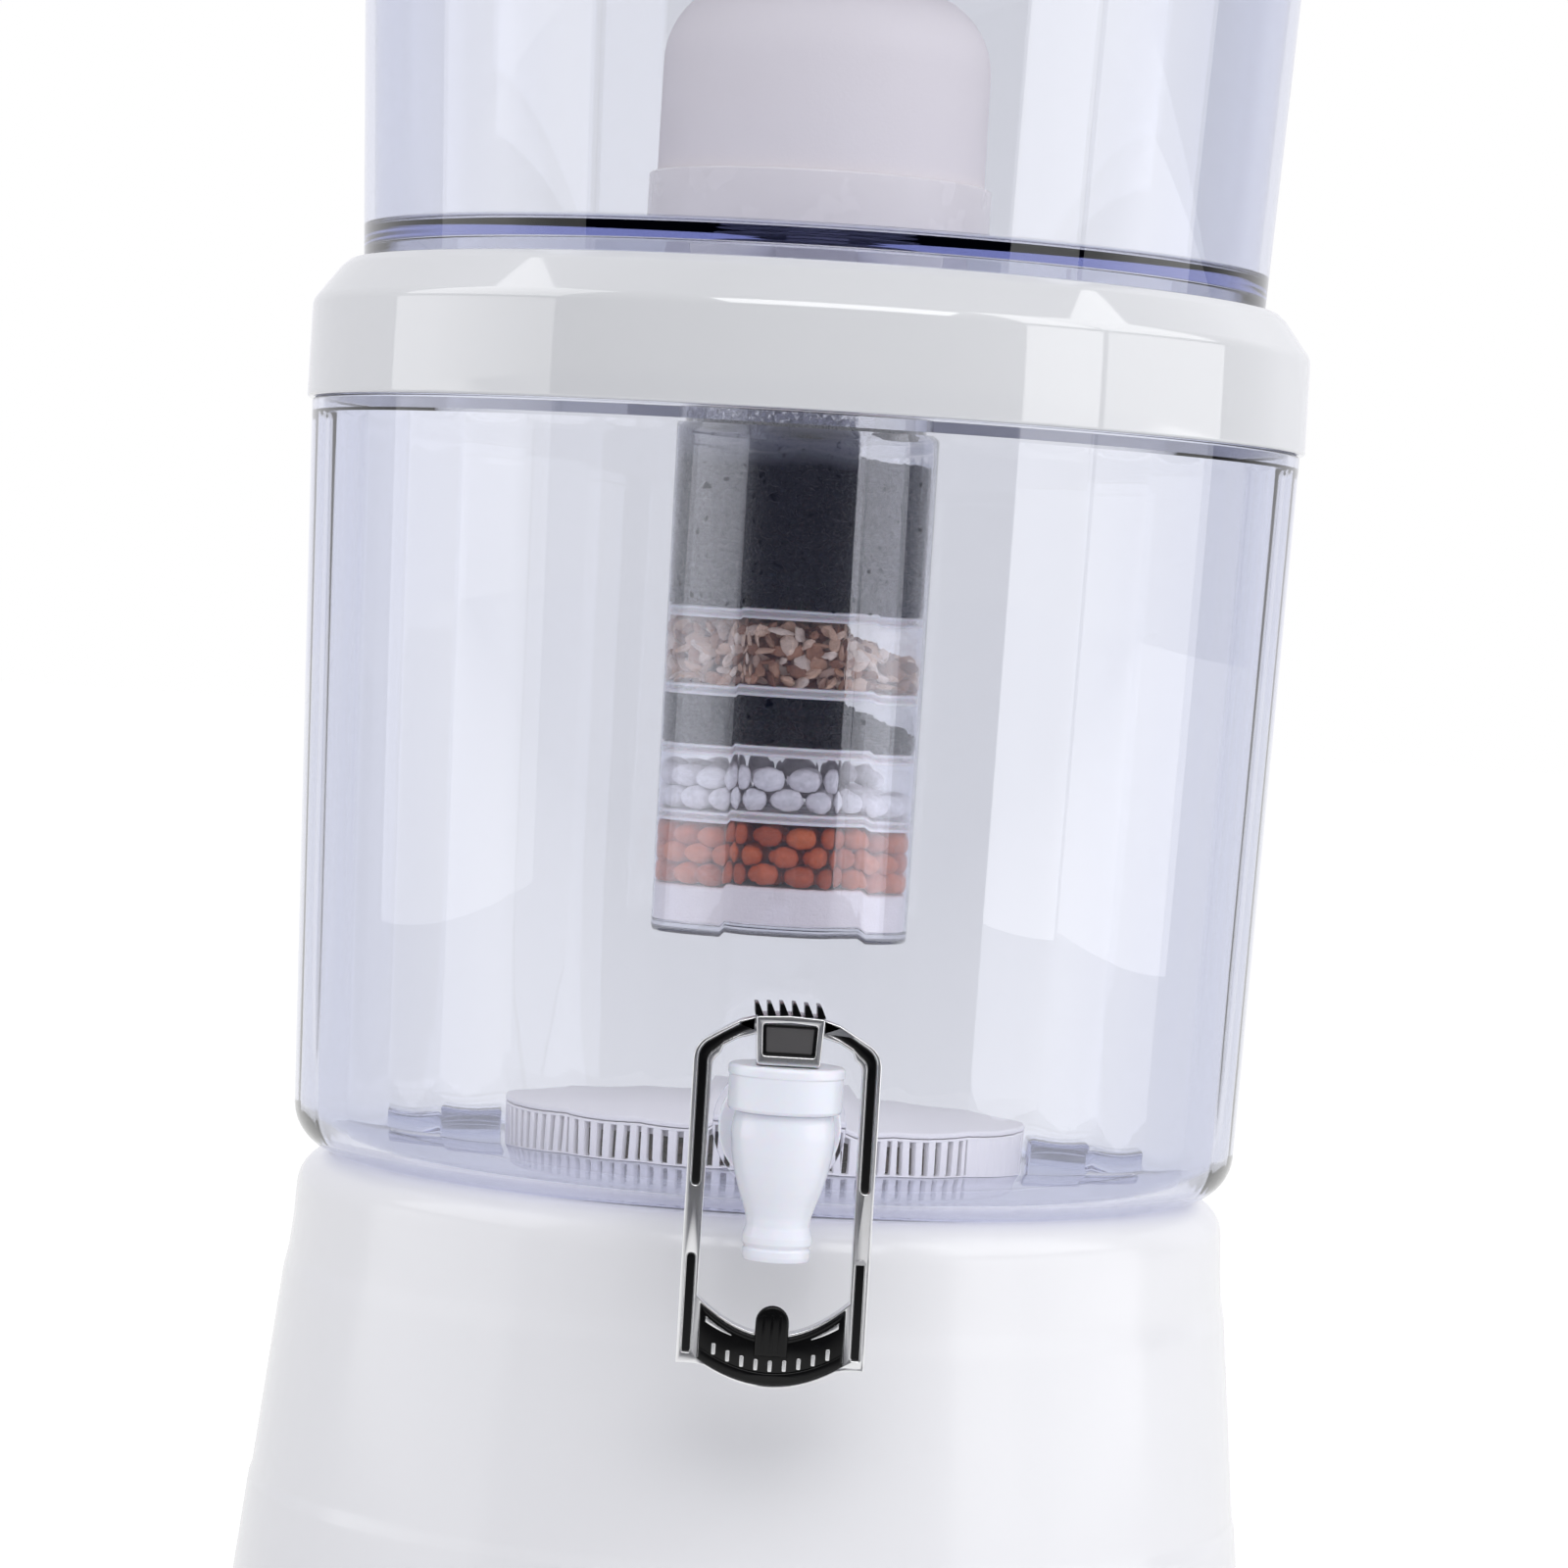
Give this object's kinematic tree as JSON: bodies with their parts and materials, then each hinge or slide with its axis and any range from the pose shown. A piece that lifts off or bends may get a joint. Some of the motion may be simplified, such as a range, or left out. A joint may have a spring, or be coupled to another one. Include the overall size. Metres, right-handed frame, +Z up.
{
  "type": "gravity water filter with tap",
  "caption": "Free-standing gravity water filter: stand, clear fluted lower tank with push-lever tap, collar, clear upper tank with ceramic dome, mineral cartridge, stone case and lid.",
  "frame": {"origin": "on the ground under the centre of the stand, which is the tanks' common axis", "axes": "+Z up along the tanks' axis, the tap faces -Y, +X to the right of someone who faces the tap"},
  "size_m": [0.296, 0.3372, 0.6233],
  "materials": {
    "white_abs": "glossy moulded",
    "clear_blue": "clear moulded polystyrene, pale blue tint",
    "clear_tube": "clear moulded",
    "ceramic": "porous fired ceramic, warm grey",
    "base_cream": "moulded, warm cream",
    "divider_white": "translucent moulded",
    "silicone": "soft satin",
    "carbon": "black granules",
    "stone_chips": "tan and brown chips",
    "white_ball": "fired white balls",
    "red_ball": "fired orange-brown balls",
    "pad_foam": "felt pad",
    "case_white": "moulded",
    "dark_stone": "dark stones",
    "tap_white": "glossy moulded",
    "chrome_plate": "plated, mirror",
    "black_abs": "glossy moulded",
    "badge_grey": "satin",
    "black_rubber": "satin",
    "steel": "drawn wire and pin"
  },
  "bodies": {
    "stand": {"stand": "white_abs"},
    "lower_tank": {"lower_tank": "clear_blue", "tap_body": "tap_white", "tap_bonnet": "tap_white", "tap_gasket_outer": "silicone", "tap_gasket_inner": "silicone", "tap_nut": "tap_white", "tap_spring": "steel"},
    "tap_stem": {"tap_rod": "tap_white", "tap_seal": "black_rubber", "tap_pin": "steel"},
    "tap_lever": {"lever_frame": "chrome_plate", "lever_inlays": "black_abs", "lever_badge": "badge_grey", "thumb_grip": "black_abs", "lever_pad": "black_abs", "pad_ribs": "chrome_plate"},
    "stone_case": {"case_basket": "case_white", "case_stones": "dark_stone"},
    "case_lid": {"case_lid": "case_white"},
    "collar": {"collar": "white_abs"},
    "upper_tank": {"upper_tank": "clear_blue", "dome_ceramic": "ceramic", "dome_base": "base_cream", "dome_gasket": "silicone", "dome_nut": "white_abs"},
    "lid": {"lid": "white_abs", "lid_knob": "white_abs", "lid_screw": "steel"},
    "cartridge": {"cartridge_cap": "white_abs", "cartridge_gasket": "silicone", "cartridge_body": "clear_tube", "cartridge_pad": "pad_foam", "divider_1": "divider_white", "divider_2": "divider_white", "divider_3": "divider_white", "divider_4": "divider_white", "media_red_balls": "red_ball", "media_white_balls": "white_ball", "media_carbon_lower": "carbon", "media_stone_chips": "stone_chips", "media_carbon_top": "carbon"}
  },
  "joints": [
    {"name": "lower_tank_lift", "type": "slide", "parent": "stand", "child": "lower_tank", "axis": [0, 0, 1], "range_m": [0, 0.1]},
    {"name": "collar_lift", "type": "slide", "parent": "lower_tank", "child": "collar", "axis": [0, 0, 1], "range_m": [0, 0.05]},
    {"name": "upper_tank_lift", "type": "slide", "parent": "collar", "child": "upper_tank", "axis": [0, 0, 1], "range_m": [0, 0.2]},
    {"name": "lid_lift", "type": "slide", "parent": "upper_tank", "child": "lid", "axis": [0, 0, 1], "range_m": [0, 0.08]},
    {"name": "cartridge_drop", "type": "slide", "parent": "upper_tank", "child": "cartridge", "axis": [0, 0, -1], "range_m": [0, 0.02]},
    {"name": "case_lift", "type": "slide", "parent": "lower_tank", "child": "stone_case", "axis": [0, 0, 1], "range_m": [0, 0.02]},
    {"name": "case_lid_lift", "type": "slide", "parent": "stone_case", "child": "case_lid", "axis": [0, 0, 1], "range_m": [0, 0.008]},
    {"name": "stem_lift", "type": "slide", "parent": "lower_tank", "child": "tap_stem", "axis": [0, 0, 1], "range_m": [0, 0.003], "deforming": ["tap_spring"]},
    {"name": "lever_tilt", "type": "hinge", "parent": "tap_stem", "child": "tap_lever", "pos_m": [0, -0.17374, 0.176], "axis": [1, 0, 0], "range_deg": [0, 18], "stiffness_Nm_per_rad": 0.25, "springref_deg": -8.59}
  ],
  "couplings": [
    {"joint": "stem_lift", "follows": "lever_tilt", "m_per_rad": 0.009}
  ]
}
